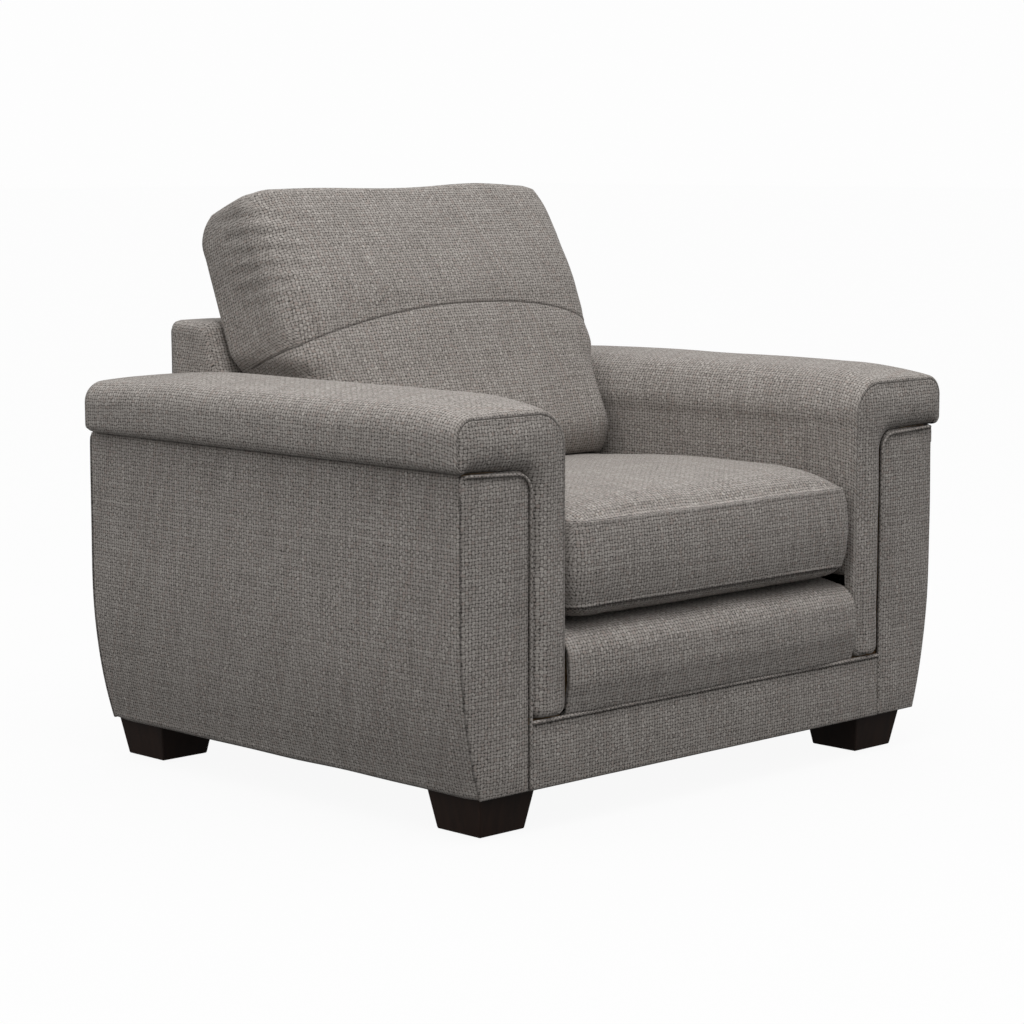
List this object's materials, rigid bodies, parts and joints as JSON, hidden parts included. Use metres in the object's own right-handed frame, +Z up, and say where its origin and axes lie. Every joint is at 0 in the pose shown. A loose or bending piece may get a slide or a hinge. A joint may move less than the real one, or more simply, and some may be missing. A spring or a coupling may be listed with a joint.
{
  "type": "upholstered armchair",
  "caption": "Low square-armed club chair with padded arms, loose seat and back cushions, woven tweed cover and short tapered dark wood legs.",
  "frame": {"origin": "on the floor, under the centre of the chair's bounding box", "axes": "+Z up; the sitter faces -Y; +X is to the right when the chair is seen from the front"},
  "size_m": [1.1, 0.89, 0.9332],
  "materials": {
    "tweed": "matte",
    "lining": "matte",
    "foam": "matte",
    "frame_timber": "matte",
    "espresso_wood": "satin",
    "steel": "satin",
    "nylon": "matte"
  },
  "bodies": {
    "frame": {"arm_front_panel_left": "tweed", "arm_front_panel_right": "tweed", "arm_front_post_left": "frame_timber", "arm_front_post_right": "frame_timber", "arm_front_welt_left": "tweed", "arm_front_welt_right": "tweed", "arm_pad_left": "tweed", "arm_pad_right": "tweed", "arm_rear_panel_left": "tweed", "arm_rear_panel_right": "tweed", "arm_rear_post_left": "frame_timber", "arm_rear_post_right": "frame_timber", "arm_top_rail_left": "frame_timber", "arm_top_rail_right": "frame_timber", "back_cover": "tweed", "back_lower_rail": "frame_timber", "back_post_left": "frame_timber", "back_post_right": "frame_timber", "back_rail": "frame_timber", "back_spring_1": "steel", "back_spring_2": "steel", "back_spring_3": "steel", "back_top_rail": "frame_timber", "corner_block_front_left": "frame_timber", "corner_block_front_right": "frame_timber", "corner_block_rear_left": "frame_timber", "corner_block_rear_right": "frame_timber", "dust_cover": "lining", "front_border": "tweed", "front_rail": "frame_timber", "kick_panel": "tweed", "kick_welt": "tweed", "leg_bolt_front_left": "steel", "leg_bolt_front_right": "steel", "leg_bolt_rear_left": "steel", "leg_bolt_rear_right": "steel", "leg_front_left": "espresso_wood", "leg_front_right": "espresso_wood", "leg_glide_front_left": "nylon", "leg_glide_front_right": "nylon", "leg_glide_rear_left": "nylon", "leg_glide_rear_right": "nylon", "leg_rear_left": "espresso_wood", "leg_rear_right": "espresso_wood", "outer_arm_panel_left": "tweed", "outer_arm_panel_right": "tweed", "outside_back": "tweed", "seat_deck": "lining", "seat_spring_1": "steel", "seat_spring_2": "steel", "seat_spring_3": "steel", "seat_spring_4": "steel", "side_rail_left": "frame_timber", "side_rail_right": "frame_timber"},
    "seat_cushion": {"seat_cushion_core": "foam", "seat_cushion_cover": "tweed", "seat_cushion_zip": "nylon"},
    "back_cushion": {"back_cushion_core": "foam", "back_cushion_cover": "tweed", "back_cushion_zip": "nylon"}
  },
  "joints": [
    {"name": "seat_cushion_slide", "type": "slide", "parent": "frame", "child": "seat_cushion", "axis": [0, -1, 0], "range_m": [0, 0.64]},
    {"name": "back_cushion_lift", "type": "slide", "parent": "frame", "child": "back_cushion", "axis": [0, 0.3584, 0.9336], "range_m": [0, 0.3]}
  ]
}
